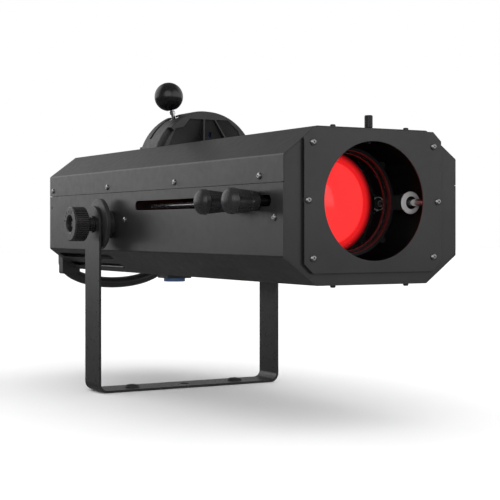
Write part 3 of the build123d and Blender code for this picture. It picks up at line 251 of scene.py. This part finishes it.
def metal(name, colour, rough=(0.18, 0.3), stretch=(1, 1, 1), grain=0.5, edge=0.3, metallic=1.0):
    """Drawn or turned metal; stretch draws the grain out along an axis."""
    g = Graph(name)
    rounded = g.rounded(edge)
    streak = g.noise(grain, 3.0, 0.6, stretch)
    base = g.mix(g.spread(streak, 0.0, 1.0), colour, tuple(c * 0.8 for c in colour))
    g.link(base, g.shader.inputs["Base Color"])
    g.link(g.spread(g.noise(6.0, 3.0, 0.6, stretch), *rough), g.shader.inputs["Roughness"])
    g.link(g.bump(streak, 0.01, 0.4, rounded), g.shader.inputs["Normal"])
    g.shader.inputs["Metallic"].default_value = metallic
    return g.material


def glowing_lens(name):
    """Lens painted glowing red by emission, standing in for light from behind; a painted shade band of
    deeper red lies outside its curved face and darkens to near black at the rim.
    """
    g = Graph(name)
    cloud = g.noise(55.0, 2.0)
    # Painted light: red emission standing in for light passing through the lens from behind.
    painted_glow = g.mix(g.spread(cloud, 0.0, 1.0), (1.0, 0.042, 0.040), (0.98, 0.036, 0.036))
    radius = g.radius_from(0, AXIS_Z)
    # Painted shade: the band outside the curved face and the fade to near black at the rim darken both
    # the glow and the base colour.
    painted_shade_band = g.spread(radius, 0.0, 1.0, LENS_FACE_R - 0.0012, LENS_FACE_R + 0.0012)
    painted_rim_fade = g.spread(radius, 0.0, 1.0, LENS_R - 0.007, LENS_R - 0.001)
    edge = g.mix(painted_rim_fade, (0.78, 0.012, 0.014), (0.06, 0.001, 0.002))
    g.link(g.mix(painted_shade_band, painted_glow, edge), g.shader.inputs["Emission Color"])
    g.link(g.mix(painted_shade_band, (0.5, 0.01, 0.012), (0.2, 0.004, 0.006)), g.shader.inputs["Base Color"])
    g.shader.inputs["Emission Strength"].default_value = 1.0
    g.link(g.spread(g.noise(3.0, 4.0), 0.05, 0.12), g.shader.inputs["Roughness"])
    return g.material


def bush_plastic(name):
    """White moulded bush whose counterbore is painted near black, as painted shade in the recess round
    the rod.
    """
    g = Graph(name)
    white = g.mix(g.spread(g.noise(25.0), 0.0, 1.0), (0.84, 0.82, 0.82), (0.95, 0.93, 0.93))
    # Painted shade: near-black colour inside the counterbore radius, where the recess lies in shadow.
    painted_well_shade = g.mix(g.spread(g.noise(0.6, 4.0, 0.7), 0.0, 1.0), (0.006, 0.006, 0.006), (0.02, 0.02, 0.02))
    outside = g.spread(g.radius_from(ROD_X, AXIS_Z), 0.0, 1.0, WELL_R - 0.0001, WELL_R + 0.0002)
    g.link(g.mix(outside, painted_well_shade, white), g.shader.inputs["Base Color"])
    g.link(g.spread(g.noise(5.0, 4.0), 0.4, 0.55), g.shader.inputs["Roughness"])
    g.link(g.bump(g.noise(1.5, 3.0, 0.7), 0.03, 0.6, g.rounded(0.5)), g.shader.inputs["Normal"])
    return g.material


def clear_glass(name, colour, alpha):
    """Thin see-through glass with faint smears."""
    g = Graph(name)
    base = g.mix(g.spread(g.noise(40.0), 0.0, 1.0), colour, tuple(c * 0.92 for c in colour))
    g.link(base, g.shader.inputs["Base Color"])
    g.link(g.spread(g.noise(2.5, 5.0), 0.02, 0.09), g.shader.inputs["Roughness"])
    g.link(g.spread(g.noise(12.0, 4.0), alpha, alpha * 1.3), g.shader.inputs["Alpha"])
    g.material.surface_render_method = "BLENDED"
    return g.material


def white_floor():
    g = Graph("studio_floor")
    base = g.mix(g.spread(g.noise(400.0), 0.0, 1.0), (0.93, 0.93, 0.93), (0.9, 0.9, 0.9))
    g.link(base, g.shader.inputs["Base Color"])
    g.link(g.spread(g.noise(30.0), 0.7, 0.8), g.shader.inputs["Roughness"])
    return g.material


FINISHES = {
    "body_coat": powder_coat("body_coat"),
    "yoke_coat": powder_coat("yoke_coat", rough=(0.26, 0.34), edge=0.5),
    "black_screws": metal("black_screws", (0.05, 0.05, 0.053), (0.2, 0.34), grain=0.3, edge=0.25),
    "bright_steel": metal("bright_steel", (0.62, 0.61, 0.62), (0.08, 0.2), (1, 0.04, 1)),
    "leaf_steel": metal("leaf_steel", (0.16, 0.16, 0.17), (0.3, 0.45)),
    "moulded_black": moulded("moulded_black", (0.016, 0.016, 0.017), (0.36, 0.48)),
    "knob_black": moulded("knob_black", (0.013, 0.013, 0.014), (0.24, 0.34)),
    "ball_black": moulded("ball_black", (0.005, 0.005, 0.0055), (0.16, 0.24), grain=8.0, depth=0.02),
    "black_anodised": metal("black_anodised", (0.02, 0.02, 0.021), (0.4, 0.52), metallic=0.6),
    "lens_glass": clear_glass("lens_glass", (0.02, 0.02, 0.022), 0.03),
    "filter_glass": clear_glass("filter_glass", (0.2, 0.4, 0.9), 0.6),
    "white_bush": bush_plastic("white_bush"),
    "bare_aluminium": metal("bare_aluminium", (0.62, 0.63, 0.65), (0.3, 0.45), (1, 0.05, 1)),
    "motor_shell": powder_coat("motor_shell", (0.03, 0.03, 0.032), (0.35, 0.45), 0.4),
    "circuit_board": moulded("circuit_board", (0.7, 0.72, 0.7), (0.4, 0.5)),
    "phosphor": moulded("phosphor", (0.85, 0.62, 0.1), (0.4, 0.5)),
    "guard_coat": powder_coat("guard_coat", (0.012, 0.012, 0.013), (0.35, 0.45), 0.3, 0.6),
    "socket_metal": metal("socket_metal", (0.08, 0.08, 0.085), (0.25, 0.4)),
    "button_grey": moulded("button_grey", (0.16, 0.16, 0.17), (0.4, 0.5), 0.3),
    "rocker_black": moulded("rocker_black", (0.01, 0.01, 0.01), (0.1, 0.2), 0.4),
    "display_tint": moulded("display_tint", (0.01, 0.012, 0.02), (0.05, 0.12), 0.4, 6.0, 0.01),
    "inlet_blue": moulded("inlet_blue", (0.03, 0.07, 0.16), (0.3, 0.42), 0.4),
}


# Nodes whose finish is their own rather than their slot's.
SPECIAL = {
    "guide_rods": metal("ground_rod", (0.9, 0.88, 0.88), (0.12, 0.22), (1, 0.04, 1), metallic=0.9),
    "rear_lens": glowing_lens("rear_lens_lit"),
    "body_screws": metal("zinc_screws", (0.55, 0.55, 0.56), (0.16, 0.3), grain=0.3, edge=0.25),
    "plate_screws": metal("plate_screws", (0.36, 0.36, 0.37), (0.18, 0.3), grain=0.3, edge=0.25),
}


def dress_nodes():
    for part in frame["record"]["subparts"]:
        finish = SPECIAL.get(part["node"], FINISHES[part["material_slot"]])
        for slot in nodes[part["node"]].material_slots:
            slot.material = finish


def add_floor():
    half = FLOOR_HALF
    mesh = bpy.data.meshes.new("floor")
    corners = [(-half, -half, 0), (half, -half, 0), (half, half, 0), (-half, half, 0)]
    mesh.from_pydata(corners, [], [(0, 1, 2, 3)])
    floor = bpy.data.objects.new("floor", mesh)
    floor.location.z = -FLOOR_DROP
    floor.visible_glossy = False
    mesh.materials.append(white_floor())
    scene.collection.objects.link(floor)


add_camera()
add_world()
add_overhead()
add_floor()
dress_nodes()
